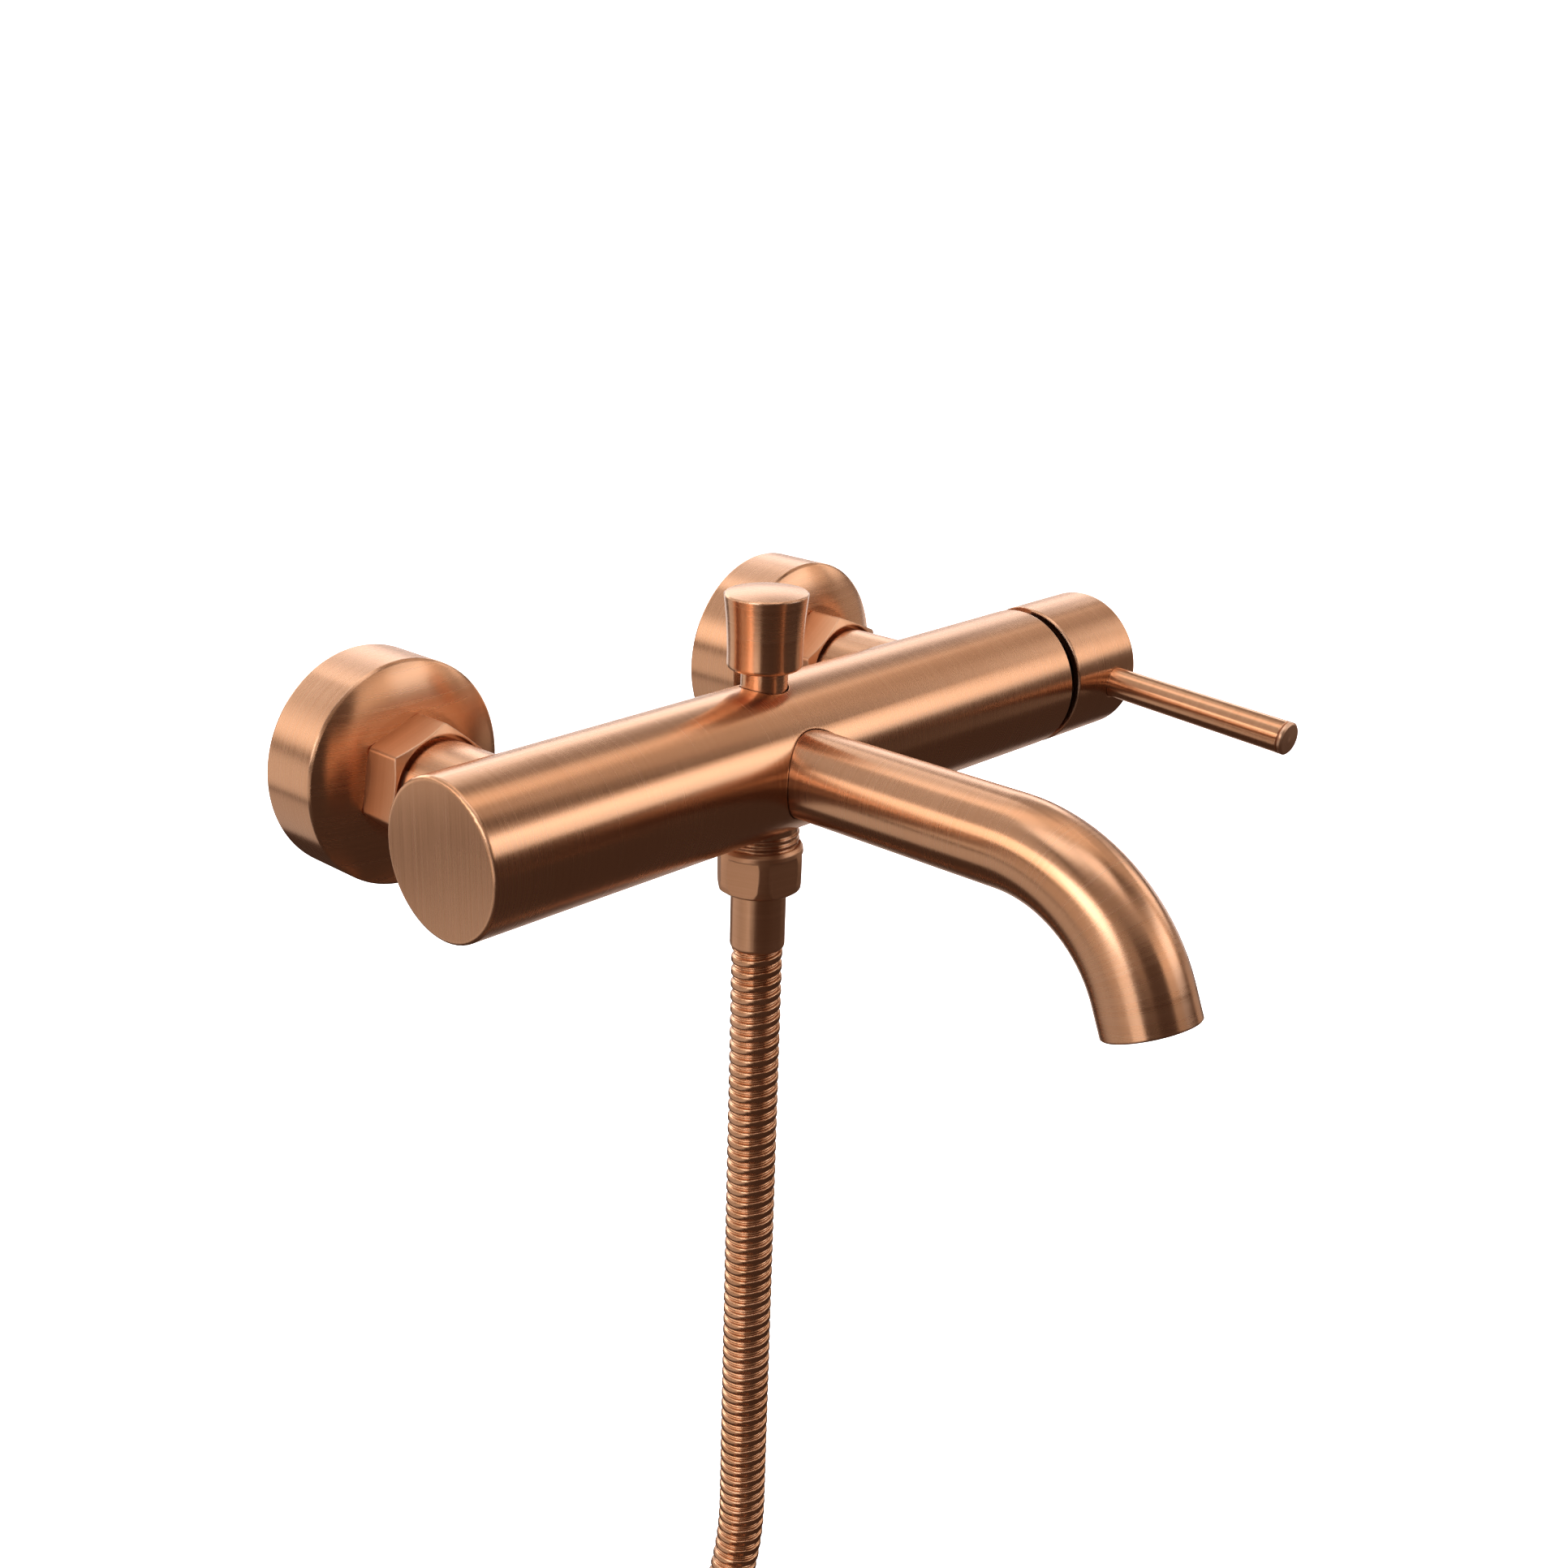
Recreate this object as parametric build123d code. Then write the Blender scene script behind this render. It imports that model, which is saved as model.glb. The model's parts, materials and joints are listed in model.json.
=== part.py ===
from build123d import *
from math import asin, cos, radians, sin, tan
import os

os.makedirs("parts", exist_ok=True)

# Wall mounted bath mixer with a hand shower outlet, in mm.
# X runs along the body, -Y points into the room, Z is up, and the wall is the plane Y = 0.
# The origin lies on the wall, midway between the two inlets.

# ---- overall ----
wall_outlet_pitch = 150.0
body_inlet_pitch = 151.6
wall_to_axis = 72.6
body_radius = 20.15
body_left_x = -106.2
body_right_x = 108.1
body_edge = 1.0
body_wall = 3.0

# ---- wall connections: "out" is the distance from the wall ----
tail_radius = 10.48
tail_depth = 14.0
union_core_radius = 12.0
union_core_out = 17.0
union_thread_radius = 13.2
union_thread_out = 27.1
union_bore_radius = 7.0
plate_radius = 29.85
plate_rim_out = 18.3
plate_top_out = 21.8
plate_land_radius = 17.6
plate_wall = 1.4
plate_edge = 0.6
nut_flats = 29.2
nut_length = 12.4
nut_recess_radius = 14.0
nut_recess_depth = 2.2
nut_lip = 1.6
nut_turns = {"left": 20.0, "right": 37.0}
neck_radius = 13.0
neck_gap = 0.4
seat_flange = 1.8
seat_radius = 12.4
seat_thread_radius = 10.0
seat_thread_length = 12.0

# ---- waterways ----
port_radius = 3.5
chamber_radius = body_radius - body_wall
web_half = 22.0
web_to_inlet = 9.8
hot_gallery = (12.0, 6.0)
hot_port = (8.5, 5.2)
cold_port = (8.5, -5.2)
mixed_port = (-9.0, 0.0)
cold_port_shift = 2.3

# ---- cartridge: lengths from its seat in the body ----
cartridge_pocket = 28.1
cartridge_radius = 17.5
base_thickness = 5.0
seal_depth = 1.8
seal_width = 1.5
fixed_disc_radius = 15.4
fixed_disc_thickness = 3.5
moving_disc_radius = 11.6
moving_disc_thickness = 3.2
disc_port_radius = 2.6
disc_port_ring = 8.0
disc_gap = 0.05
carrier_radius = 11.0
carrier_thickness = 3.6
housing_wall = 1.6
housing_height = 21.0
housing_neck_radius = 12.4
housing_neck_height = 3.0
guide_radius = 10.7
spindle_width = 7.6
spindle_pivot_height = 19.5
spindle_height = 44.0
spindle_foot_depth = 5.9
pin_radius = 1.5
cartridge_nut_radius = 18.4
cartridge_nut_inner = 14.4
ring_radius = 16.3
ring_length = 4.7
running_gap = 0.05
free_gap = 0.3

# ---- handle ----
cap_gap = 3.4
cap_length = 27.5
cap_floor = 19.4
cap_wall = 2.0
cap_relief_angle = 17.0
hub_radius = 7.2
hub_recess = 1.5
lever_from_cap_end = 9.4
lever_droop = 3.8
lever_length = 77.7
lever_root_radius = 4.38
lever_tip_radius = 4.66
lever_tip_length = 1.8
lever_tip_groove = 0.4
lever_stud_radius = 2.5
screw_radius = 2.0
plug_radius = 2.6

# ---- spout ----
spout_radius = 11.73
spout_wall = 1.5
spout_straight = 80.6
spout_bend_radius = 42.05
spout_bend_angle = 67.7
spout_end_length = 8.05
spout_socket_gap = 0.2
spout_shoulder = 15.0
spout_step = 1.93
spout_shank_end = 10.6
aerator_length = 5.3
aerator_recess = 1.2

# ---- diverter: heights from the body axis ----
knob_clearance = 4.65
knob_height = 19.5
knob_dome = 1.0
knob_top_radius = 10.85
knob_low_radius = 9.75
knob_neck_radius = 6.08
knob_neck_bottom = 10.6
neck_bore_radius = 6.4
stem_radius = 2.5
bonnet_bottom = 5.0
bonnet_top = 8.4
bonnet_radius = 6.2
stem_seal_height = 1.6
lower_seat = -12.5
seat_gap = 0.2
valve_radius = 7.6
washer_thickness = 3.0
retainer_height = 1.6
valve_bore_radius = 9.5
diverter_travel = 7.6
spring_wire = 0.7
spring_coil_radius = 4.3
spring_coils = 4

# ---- shower outlet ----
nipple_radius = 10.45
nipple_top_thread = 9.5
nipple_shoulder_depth = 2.95
nipple_bore_radius = 7.0
nipple_seat_radius = 5.2
check_valve_length = 11.6
poppet_gap = 0.02
thread_pitch = 1.81
hose_nut_clearance = 2.85
hose_nut_length = 13.1
hose_nut_lip = 1.3
hose_nut_radius = 11.75
hose_nut_flats = 21.6
hose_nut_turn = -10.0
hose_washer_thickness = 1.6
hose_flange_radius = 9.2
hose_flange_thickness = 1.6
ferrule_radius = 7.45
ferrule_length = 17.5

# ---- shower hose ----
hose_radius = 7.0
hose_bore_radius = 3.6
coil_radius = 73.4
coil_turns = 2.25
coil_pitch = 14.2
bend_run = 66.0
hose_straight_end = -275.0
tail_length = 55.0
tail_slope = 3.2
far_ferrule_length = 17.0
far_nut_length = 24.0
far_nut_radius = 12.0
far_nut_small_radius = 8.6
far_thread_radius = 9.32

# ---- places that follow from the sizes ----
wall_side = {"left": -1, "right": 1}
axis_y = -wall_to_axis
web_right_x = body_inlet_pitch / 2 - web_to_inlet
cartridge_seat_x = body_right_x - cartridge_pocket
housing_top_x = cartridge_seat_x + housing_height
housing_neck_x = housing_top_x + housing_neck_height
spindle_pivot_x = cartridge_seat_x + spindle_pivot_height
spindle_foot_x = spindle_pivot_x - spindle_foot_depth
spindle_end_x = cartridge_seat_x + spindle_height
ring_end_x = body_right_x + ring_length
cap_left_x = body_right_x + cap_gap
cap_right_x = cap_left_x + cap_length
cap_floor_x = cap_right_x - cap_floor
lever_x = cap_right_x - lever_from_cap_end
washer_base = lower_seat + seat_gap
washer_top = washer_base + washer_thickness
upper_seat = washer_top + diverter_travel + seat_gap
knob_bottom = body_radius + knob_clearance
spout_shank_radius = spout_radius - spout_step
knob_rim = knob_bottom + knob_height
knob_top = knob_rim + knob_dome
nipple_shoulder = nipple_shoulder_depth - body_radius
hose_nut_top = -body_radius - hose_nut_clearance
hose_nut_bottom = hose_nut_top - hose_nut_length
hose_flange_bottom = hose_nut_bottom + hose_nut_lip
hose_flange_top = hose_flange_bottom + hose_flange_thickness
nipple_bottom = hose_flange_top + hose_washer_thickness
ferrule_bottom = hose_nut_bottom - ferrule_length


# ---------------------------------------------------------------- helpers
def turned(points, base, direction):
    """Solid of revolution from (radius, distance) points along a direction from a base."""
    outline = make_face(Polyline([(r, 0, t) for r, t in points], close=True))
    solid = revolve(outline, axis=Axis.Z)
    return Plane(origin=base, z_dir=direction).location * solid


def bar(base, direction, length, radius, bore=0.0):
    """Round bar or tube that starts at a base and runs along a direction."""
    if bore:
        points = [(bore, 0), (radius, 0), (radius, length), (bore, length)]
    else:
        points = [(0, 0), (radius, 0), (radius, length), (0, length)]
    return turned(points, base, direction)


def along_x(x0, x1, radius, bore=0.0, dy=0.0, dz=0.0):
    """Round bar along the body's direction, offset from its axis towards the wall and up."""
    return bar((x0, axis_y + dy, dz), (1, 0, 0), x1 - x0, radius, bore)


def upright(z0, z1, radius, bore=0.0):
    """Vertical round bar on the diverter's axis."""
    return bar((0, axis_y, z0), (0, 0, 1), z1 - z0, radius, bore)


def outward(x, out0, out1, radius, bore=0.0, z=0.0):
    """Round bar square to the wall, between two distances from it."""
    return bar((x, -out0, z), (0, -1, 0), out1 - out0, radius, bore)


def block(x0, x1, y0, y1, z0, z1):
    """Box between two corners."""
    centre = ((x0 + x1) / 2, (y0 + y1) / 2, (z0 + z1) / 2)
    return Pos(*centre) * Box(x1 - x0, y1 - y0, z1 - z0)


def threaded(base, direction, length, radius, bore, pitch):
    """Tube whose outside carries round thread crests."""
    depth = 0.25 * pitch
    turns = int(length / pitch)
    points = [(bore, 0), (radius - depth, 0)]
    for i in range(turns):
        start = i * pitch + (length - turns * pitch)
        points += [
            (radius - depth, start + 0.15 * pitch),
            (radius, start + 0.40 * pitch),
            (radius, start + 0.60 * pitch),
            (radius - depth, start + 0.85 * pitch),
        ]
    points += [(radius - depth, length), (bore, length)]
    return turned(points, base, direction)


def hexagon(flats, length, base, direction, turn=0.0):
    """Hexagonal bar with rounded corners."""
    outline = RegularPolygon(flats / 2, 6, major_radius=False)
    outline = fillet(outline.vertices(), flats * 0.04)
    solid = extrude(Rot(0, 0, turn) * outline, amount=length)
    return Plane(origin=base, x_dir=(1, 0, 0), z_dir=direction).location * solid


def in_handle_frame(shape):
    """Turn a shape drawn with a level lever about the body axis to the lever's droop."""
    return Location((0, axis_y, 0)) * (Rot(lever_droop, 0, 0) * (Location((0, -axis_y, 0)) * shape))


def body_inlet_x(side):
    return wall_side[side] * body_inlet_pitch / 2


def wall_outlet_x(side):
    return wall_side[side] * wall_outlet_pitch / 2


# ---------------------------------------------------------------- wall connections
nut_back_out = plate_top_out
nut_front_out = nut_back_out + nut_length
recess_floor_out = nut_front_out - nut_recess_depth
lip_back_out = recess_floor_out - nut_lip
neck_end_out = recess_floor_out + neck_gap
washer_front_out = lip_back_out - seat_flange


def s_union(side):
    """Offset connector: a wall thread on one axis and the union thread on the mixer's inlet axis."""
    wall_x, body_x = wall_outlet_x(side), body_inlet_x(side)
    tail = outward(wall_x, -tail_depth, 4.0, tail_radius)
    core = outward(wall_x, 4.0, union_core_out, union_core_radius)
    head = outward(body_x, union_core_out, union_thread_out, union_thread_radius)
    bore = outward(wall_x, -tail_depth, union_core_out, union_bore_radius)
    bore += outward(body_x, union_core_out - 2.0, union_thread_out, union_bore_radius)
    return tail + core + head - bore


def cover_plate(side):
    """Round plate that hides the wall opening: a drum with a shallow domed front."""
    hole = union_thread_radius + 0.4
    x = body_inlet_x(side)
    dome_mid = (0.5 * (plate_radius + plate_land_radius), plate_rim_out + 0.66 * (plate_top_out - plate_rim_out))

    def outline(inset):
        rim = (plate_radius - inset - plate_edge, 0, plate_rim_out - inset)
        land = (plate_land_radius, 0, plate_top_out - inset)
        bottom_inner = (hole if inset == 0 else 0, 0, 0)
        edges = [
            Line(bottom_inner, (plate_radius - inset, 0, 0)),
            Line((plate_radius - inset, 0, 0), (plate_radius - inset, 0, plate_rim_out - inset - plate_edge)),
            Line((plate_radius - inset, 0, plate_rim_out - inset - plate_edge), rim),
            ThreePointArc(rim, (dome_mid[0] - inset * 0.3, 0, dome_mid[1] - inset), land),
            Line(land, (bottom_inner[0], 0, plate_top_out - inset)),
            Line((bottom_inner[0], 0, plate_top_out - inset), bottom_inner),
        ]
        return revolve(make_face(Curve() + edges), axis=Axis.Z)

    shell = outline(0) - outline(plate_wall)
    placed = Plane(origin=(wall_outlet_x(side), 0, 0), z_dir=(0, -1, 0)).location * shell
    return placed - outward(x, plate_top_out - 3 * plate_wall, plate_top_out + 1, hole)


def union_nut(side):
    """Hexagon nut with a bevelled front and a recess round the mixer's neck."""
    x = body_inlet_x(side)
    body = hexagon(nut_flats, nut_length, (x, -nut_back_out, 0), (0, -1, 0), nut_turns[side])
    corner = nut_flats / 2 / cos(radians(30))
    bevel = [
        (0, 0),
        (corner - 1.2, 0),
        (corner, 0.6),
        (corner, nut_length - 1.3),
        (nut_flats / 2 - 0.3, nut_length),
        (0, nut_length),
    ]
    body = body & turned(bevel, (x, -nut_back_out, 0), (0, -1, 0))
    body -= outward(x, nut_back_out, lip_back_out, union_thread_radius)
    body -= outward(x, lip_back_out, recess_floor_out, seat_radius - 1.0)
    return body - outward(x, recess_floor_out, nut_front_out, nut_recess_radius)


def filter_washer(side):
    """Rubber sealing washer with a perforated strainer disc moulded in."""
    x = body_inlet_x(side)
    ring = outward(x, union_thread_out, washer_front_out, seat_radius, union_bore_radius)
    strainer = outward(x, union_thread_out + 0.5, washer_front_out - 0.5, union_bore_radius)
    for step in range(6):
        angle = radians(60 * step)
        hole_x = x + 4.4 * cos(angle)
        hole_z = 4.4 * sin(angle)
        strainer -= outward(hole_x, union_thread_out, washer_front_out, 1.5, z=hole_z)
    strainer -= outward(x, union_thread_out, washer_front_out, 1.5)
    return ring + strainer


def inlet_seat(side):
    """Flanged tailpiece screwed into the neck, which holds the nut captive."""
    x = body_inlet_x(side)
    flange = outward(x, washer_front_out, lip_back_out, seat_radius)
    shank = outward(x, lip_back_out, neck_end_out, seat_radius - 1.2)
    thread = outward(x, neck_end_out, neck_end_out + seat_thread_length, seat_thread_radius)
    bore = outward(x, washer_front_out, neck_end_out + seat_thread_length, union_bore_radius)
    return flange + shank + thread - bore


# ---------------------------------------------------------------- mixer body
def inlet_neck_cut(side):
    x = body_inlet_x(side)
    seat_end = neck_end_out + seat_thread_length
    cut = outward(x, neck_end_out, seat_end, seat_thread_radius)
    if side == "left":
        return cut + outward(x, seat_end, wall_to_axis, union_bore_radius)
    port_x = x - cold_port_shift
    cut += outward(port_x, seat_end, wall_to_axis - cold_port[0] + port_radius, port_radius, z=cold_port[1])
    cut += along_x(port_x, cartridge_seat_x, port_radius, dy=cold_port[0], dz=cold_port[1])
    return cut


def mixer_body():
    """Cast body: two inlet necks, drilled waterways, diverter bore and cartridge pocket."""
    barrel = along_x(body_left_x, body_right_x, body_radius)
    barrel = fillet(barrel.edges().sort_by(Axis.X)[:1], body_edge)
    barrel = chamfer(barrel.edges().sort_by(Axis.X)[-1:], 0.35)
    for side in wall_side:
        barrel += outward(body_inlet_x(side), neck_end_out, wall_to_axis, neck_radius)
    hot_tube = along_x(-web_half - 1, web_right_x + 1, port_radius + 2.2, dy=hot_gallery[0], dz=hot_gallery[1])
    left_chamber = along_x(body_left_x + 1.3 * body_wall, -web_half, chamber_radius)
    mixed_chamber = along_x(web_half, web_right_x, chamber_radius) - hot_tube
    barrel -= left_chamber
    barrel -= mixed_chamber
    gallery_end = cartridge_seat_x - 5.0
    barrel -= along_x(-web_half - 1, gallery_end, port_radius, dy=hot_gallery[0], dz=hot_gallery[1])
    barrel -= along_x(gallery_end - 6.0, cartridge_seat_x, port_radius, dy=hot_port[0], dz=hot_port[1])
    barrel -= along_x(web_right_x - 1, cartridge_seat_x, port_radius, dy=mixed_port[0], dz=mixed_port[1])
    for side in wall_side:
        barrel -= inlet_neck_cut(side)
    barrel -= along_x(cartridge_seat_x, housing_top_x, cartridge_radius)
    barrel -= along_x(housing_top_x, body_right_x, cartridge_nut_radius)
    return barrel - diverter_cuts() - spout_cuts()


def diverter_cuts():
    """Stepped vertical bore: outlet thread, valve chamber, spout chamber and knob guide."""
    cut = upright(-body_radius - 1, nipple_shoulder, nipple_radius + 0.5)
    cut += upright(nipple_shoulder, lower_seat, nipple_top_thread)
    cut += upright(lower_seat, upper_seat, valve_bore_radius)
    cut += upright(upper_seat, bonnet_top, bonnet_radius)
    cut += upright(bonnet_top, body_radius + 1, neck_bore_radius)
    feed_z = 0.5 * (lower_seat + upper_seat)
    return cut + along_x(0, web_half + 1, port_radius, dz=feed_z)


def spout_cuts():
    """Stepped hole in the front of the body for the spout's end."""
    front = wall_to_axis + body_radius
    seal_floor = wall_to_axis + spout_shoulder - 1.4
    cut = outward(0, seal_floor, front + 1, spout_radius + spout_socket_gap)
    cut += outward(0, wall_to_axis + spout_shank_end, seal_floor, spout_shank_radius)
    port_z = 0.5 * (upper_seat + bonnet_bottom)
    return cut + outward(0, wall_to_axis, wall_to_axis + spout_shank_end, 2.9, z=port_z)


# ---------------------------------------------------------------- cartridge
base_top_x = cartridge_seat_x + base_thickness
fixed_top_x = base_top_x + fixed_disc_thickness
moving_top_x = fixed_top_x + disc_gap + moving_disc_thickness
carrier_top_x = moving_top_x + carrier_thickness
disc_ports = [(disc_port_ring * cos(radians(a)), disc_port_ring * sin(radians(a))) for a in (32, -32, 180)]
base_ports = [hot_port, cold_port, mixed_port]


def cartridge_base():
    """Plastic base with three waterways and a seal groove round each."""
    base = along_x(cartridge_seat_x, base_top_x, cartridge_radius)
    for low, high in zip(base_ports, disc_ports):
        base -= along_x(cartridge_seat_x, cartridge_seat_x + 3, 2.5, dy=low[0], dz=low[1])
        base -= along_x(cartridge_seat_x + 2.5, base_top_x, 2.5, dy=high[0], dz=high[1])
        base -= along_x(
            cartridge_seat_x, cartridge_seat_x + seal_depth, 2.8 + seal_width, 2.8, dy=low[0], dz=low[1]
        )
    return base


def cartridge_seals():
    """Three rubber rings between the cartridge base and the body."""
    top = cartridge_seat_x + seal_depth
    rings = [along_x(cartridge_seat_x, top, 2.8 + seal_width, 2.8, dy=p[0], dz=p[1]) for p in base_ports]
    return Compound(rings)


def fixed_ceramic_disc():
    disc = along_x(base_top_x, fixed_top_x, fixed_disc_radius)
    for dy, dz in disc_ports:
        disc -= along_x(base_top_x, fixed_top_x, disc_port_radius, dy=dy, dz=dz)
    return disc


def moving_ceramic_disc():
    """Upper disc with a mixing chamber in its underside."""
    low = fixed_top_x + disc_gap
    disc = along_x(low, moving_top_x, moving_disc_radius)
    return disc - along_x(low, low + 1.8, 5.4)


def disc_carrier():
    """Plastic driver keyed to the moving disc, with a slot for the spindle's end."""
    carrier = along_x(moving_top_x, carrier_top_x, carrier_radius)
    half = spindle_width / 2 + 0.25
    wide = spindle_width / 2 + 0.3
    slot_floor = spindle_foot_x - 0.7
    return carrier - block(slot_floor, carrier_top_x + 1, axis_y - half, axis_y + half, -wide, wide)


def cartridge_housing():
    """Outer cup of the cartridge with an open neck for the turning guide."""
    inner = cartridge_radius - housing_wall
    cup = along_x(base_top_x, housing_top_x, cartridge_radius)
    cup += along_x(housing_top_x, housing_neck_x, housing_neck_radius)
    cup -= along_x(base_top_x, housing_top_x - housing_wall, inner)
    return cup - along_x(housing_top_x - housing_wall, housing_neck_x, guide_radius + running_gap)


def stem_guide():
    """Turning guide that holds the spindle's pivot pin and covers the disc carrier."""
    flange_x = carrier_top_x + 0.2
    guide = along_x(flange_x, housing_top_x - housing_wall - free_gap, guide_radius + 2.0)
    guide += along_x(flange_x, housing_neck_x + 1.0, guide_radius)
    half = spindle_width / 2 + running_gap
    swing = guide_radius - 2.2
    guide -= block(flange_x - 1, housing_neck_x + 2, axis_y - swing, axis_y + swing, -half, half)
    return guide - bar((spindle_pivot_x, axis_y, -12), (0, 0, 1), 24, pin_radius)


def spindle_pin():
    length = 2 * (guide_radius - 2.0)
    return bar((spindle_pivot_x, axis_y, -length / 2), (0, 0, 1), length, pin_radius)


def control_spindle():
    """Square brass spindle that turns and tilts on the pivot pin."""
    half = spindle_width / 2
    stem = block(spindle_pivot_x - 2.0, spindle_end_x, axis_y - half, axis_y + half, -half, half)
    foot = block(spindle_foot_x, spindle_pivot_x, axis_y - half + 0.6, axis_y + half - 0.6, -half, half)
    foot = fillet(foot.edges().filter_by(Axis.Z).sort_by(Axis.X)[:2], 1.2)
    bore = bar((spindle_pivot_x, axis_y, -half - 1), (0, 0, 1), 2 * half + 2, pin_radius + running_gap)
    return stem + foot - bore


def cartridge_nut():
    """Ring nut that clamps the cartridge into the body."""
    ring = along_x(housing_top_x, body_right_x, cartridge_nut_radius, cartridge_nut_inner)
    for step in range(6):
        angle = radians(60 * step)
        dy = (cartridge_nut_inner + 0.6) * cos(angle)
        dz = (cartridge_nut_inner + 0.6) * sin(angle)
        ring -= along_x(body_right_x - 3.5, body_right_x + 1, 1.6, dy=dy, dz=dz)
    return ring


def gap_ring():
    """Dark sleeve seen in the gap between the body and the handle."""
    flange = along_x(body_right_x, body_right_x + 0.8, cartridge_nut_radius, cartridge_nut_inner)
    return flange + along_x(body_right_x + 0.8, ring_end_x, ring_radius, cartridge_nut_inner)


# ---------------------------------------------------------------- handle
hub_x = cap_left_x + hub_recess
screw_x = 0.5 * (hub_x + cap_floor_x) + 0.6
plug_seat_y = axis_y + body_radius - cap_wall


def handle_cap():
    """Drum handle: hollow cup with a hub on the spindle and a slanted cut on the wall side."""
    cap = along_x(cap_left_x, cap_right_x, body_radius)
    cap = fillet(cap.edges().sort_by(Axis.X)[-1:], 0.8)
    inner = body_radius - cap_wall
    cap -= along_x(cap_left_x - 1, cap_floor_x, inner)
    cap = chamfer(cap.edges().filter_by(GeomType.CIRCLE).sort_by(Axis.X)[:1], 0.35)
    cap += along_x(hub_x, cap_floor_x + 1, hub_radius)
    half = spindle_width / 2
    cap -= block(cap_left_x, spindle_end_x, axis_y - half, axis_y + half, -half, half)
    slope = tan(radians(cap_relief_angle))
    reach = body_radius + 2
    relief = make_face(
        Polyline(
            [
                (cap_left_x - 5, axis_y),
                (cap_left_x, axis_y),
                (cap_left_x + reach * slope, axis_y + reach),
                (cap_left_x - 5, axis_y + reach),
            ],
            close=True,
        )
    )
    cap -= Pos(0, 0, -reach) * extrude(relief, amount=2 * reach, dir=(0, 0, 1))
    cap -= outward(lever_x, wall_to_axis + body_radius - 1.2, wall_to_axis + body_radius + 1, lever_root_radius + 0.1)
    cap -= outward(lever_x, wall_to_axis + 8.0, wall_to_axis + body_radius, lever_stud_radius)
    cap -= bar((screw_x, axis_y + half, 0), (0, 1, 0), hub_radius - half + 1, screw_radius)
    cap -= bar((screw_x, plug_seat_y, 0), (0, 1, 0), body_radius, plug_radius)
    return in_handle_frame(cap)


def handle_set_screw():
    """Grub screw with a hexagon socket that locks the hub on the spindle."""
    half = spindle_width / 2
    length = hub_radius - half
    screw = bar((screw_x, axis_y + half, 0), (0, 1, 0), length, screw_radius)
    socket = hexagon(2.0, 2.0, (screw_x, axis_y + half + length - 1.6, 0), (0, 1, 0))
    return in_handle_frame(screw - socket)


def handle_plug():
    """Small cover for the grub screw's access hole in the back of the handle."""
    plug = bar((screw_x, plug_seat_y, 0), (0, 1, 0), body_radius, plug_radius)
    plug &= along_x(screw_x - plug_radius, screw_x + plug_radius, body_radius)
    return in_handle_frame(plug)


def lever_rod():
    """Slim tapered rod with a threaded stud in the handle and a turned groove at its end."""
    root = wall_to_axis + body_radius - 1.2
    shoulder = wall_to_axis + lever_length - lever_tip_length
    length = shoulder - root
    points = [
        (0, 0),
        (lever_root_radius - 0.25, 0),
        (lever_root_radius, 0.5),
        (lever_tip_radius, length),
        (0, length),
    ]
    rod = turned(points, (lever_x, -root, 0), (0, -1, 0))
    rod += outward(lever_x, wall_to_axis + 8.0, root, lever_stud_radius)
    socket = outward(lever_x, shoulder - 6.0, shoulder, lever_stud_radius)
    return in_handle_frame(rod - socket)


def lever_tip():
    """Screwed end button with a groove behind it and a slightly domed face."""
    shoulder = wall_to_axis + lever_length - lever_tip_length
    neck = lever_tip_radius - 0.35
    points = [
        (0, 0),
        (neck, 0),
        (neck, lever_tip_groove),
        (lever_tip_radius, lever_tip_groove + 0.1),
        (lever_tip_radius, lever_tip_length - 0.6),
        (lever_tip_radius - 0.5, lever_tip_length - 0.15),
        (0, lever_tip_length),
    ]
    tip = turned(points, (lever_x, -shoulder, 0), (0, -1, 0))
    return in_handle_frame(tip + outward(lever_x, shoulder - 6.0, shoulder, lever_stud_radius))


# ---------------------------------------------------------------- spout
spout_start = (0, axis_y - spout_shoulder, 0)
bend_start = (0, axis_y - spout_straight, 0)
bend_centre = (0, axis_y - spout_straight, -spout_bend_radius)
spout_down = (0, -cos(radians(spout_bend_angle)), -sin(radians(spout_bend_angle)))


def on_bend(angle):
    """Point on the spout's centre line after a turn of the bend."""
    turn = radians(angle)
    return (0, bend_centre[1] - spout_bend_radius * sin(turn), bend_centre[2] + spout_bend_radius * cos(turn))


def beyond_bend(distance):
    """Point on the spout's last straight length."""
    end = on_bend(spout_bend_angle)
    return tuple(e + distance * d for e, d in zip(end, spout_down))


def spout_line():
    straight = Line(spout_start, bend_start)
    bend = ThreePointArc(bend_start, on_bend(spout_bend_angle / 2), on_bend(spout_bend_angle))
    last = Line(on_bend(spout_bend_angle), beyond_bend(spout_end_length))
    return Curve() + [straight, bend, last]


def spout_tube():
    """Bent round tube with a narrower threaded end in the body."""
    start_plane = Plane(origin=spout_start, z_dir=(0, -1, 0))
    outer = sweep(start_plane * Circle(spout_radius), path=spout_line())
    inner = sweep(start_plane * Circle(spout_radius - spout_wall), path=spout_line())
    mouth_edges = outer.edges().filter_by(GeomType.CIRCLE).sort_by(Axis.Z)[:1]
    tube = chamfer(mouth_edges, 0.3) - inner
    shoulder_out = wall_to_axis + spout_shoulder
    shank = outward(0, wall_to_axis + spout_shank_end, shoulder_out, spout_shank_radius)
    shank += outward(0, shoulder_out, shoulder_out + 2.0, spout_radius - spout_wall)
    return tube + shank - outward(0, wall_to_axis, shoulder_out + 3, spout_shank_radius - 2.0)


def spout_seal():
    """O-ring between the spout's shoulder and the floor of its hole."""
    shoulder_out = wall_to_axis + spout_shoulder
    return outward(0, shoulder_out - 1.4, shoulder_out, spout_radius, spout_shank_radius)


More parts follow.
